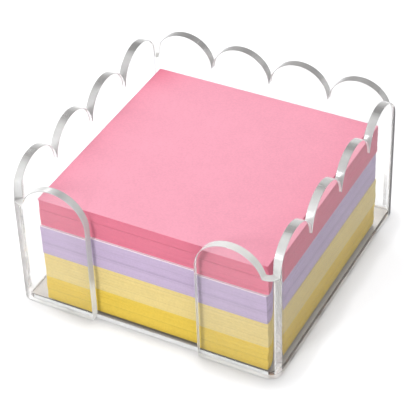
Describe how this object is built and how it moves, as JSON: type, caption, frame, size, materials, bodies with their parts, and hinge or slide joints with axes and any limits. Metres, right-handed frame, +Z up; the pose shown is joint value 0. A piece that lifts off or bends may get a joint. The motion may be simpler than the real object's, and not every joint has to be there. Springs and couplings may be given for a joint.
{
  "type": "memo paper tray",
  "caption": "Clear open-topped tray with scalloped walls and a front finger notch, holding a square stack of loose note sheets in coloured layers.",
  "frame": {"origin": "middle of the tray's underside, on the surface that it stands on", "axes": "+X to the right and +Y to the back, seen from the front with the finger notch towards -Y; +Z up"},
  "size_m": [0.1048, 0.107, 0.0578],
  "materials": {
    "clear_acrylic": "clear, flame-polished edges",
    "yellow_paper": "uncoated matte",
    "cream_paper": "uncoated matte",
    "lavender_paper": "uncoated matte",
    "pink_paper": "uncoated matte"
  },
  "bodies": {
    "tray": {"wall_strip": "clear_acrylic", "base_plate": "clear_acrylic"},
    "yellow_block": {"yellow_bundle_1": "yellow_paper", "yellow_bundle_2": "yellow_paper", "yellow_bundle_3": "yellow_paper", "yellow_bundle_4": "yellow_paper", "yellow_bundle_5": "yellow_paper"},
    "cream_block": {"cream_bundle_1": "cream_paper", "cream_bundle_2": "cream_paper", "cream_bundle_3": "cream_paper", "cream_bundle_4": "cream_paper", "cream_bundle_5": "cream_paper"},
    "lavender_block": {"lavender_bundle_1": "lavender_paper", "lavender_bundle_2": "lavender_paper", "lavender_bundle_3": "lavender_paper", "lavender_bundle_4": "lavender_paper", "lavender_bundle_5": "lavender_paper"},
    "pink_block": {"pink_bundle_1": "pink_paper", "pink_bundle_2": "pink_paper", "pink_bundle_3": "pink_paper", "pink_bundle_4": "pink_paper", "pink_bundle_5": "pink_paper"},
    "loose_sheet": {"top_sheet": "pink_paper"}
  },
  "joints": [
    {"name": "yellow_lift", "type": "slide", "parent": "tray", "child": "yellow_block", "axis": [0, 0, 1], "range_m": [0, 0.061]},
    {"name": "cream_lift", "type": "slide", "parent": "yellow_block", "child": "cream_block", "axis": [0, 0, 1], "range_m": [0, 0.0505]},
    {"name": "lavender_lift", "type": "slide", "parent": "cream_block", "child": "lavender_block", "axis": [0, 0, 1], "range_m": [0, 0.0395]},
    {"name": "pink_lift", "type": "slide", "parent": "lavender_block", "child": "pink_block", "axis": [0, 0, 1], "range_m": [0, 0.0265]},
    {"name": "sheet_lift", "type": "slide", "parent": "pink_block", "child": "loose_sheet", "axis": [0, 0, 1], "range_m": [0, 0.015]}
  ]
}
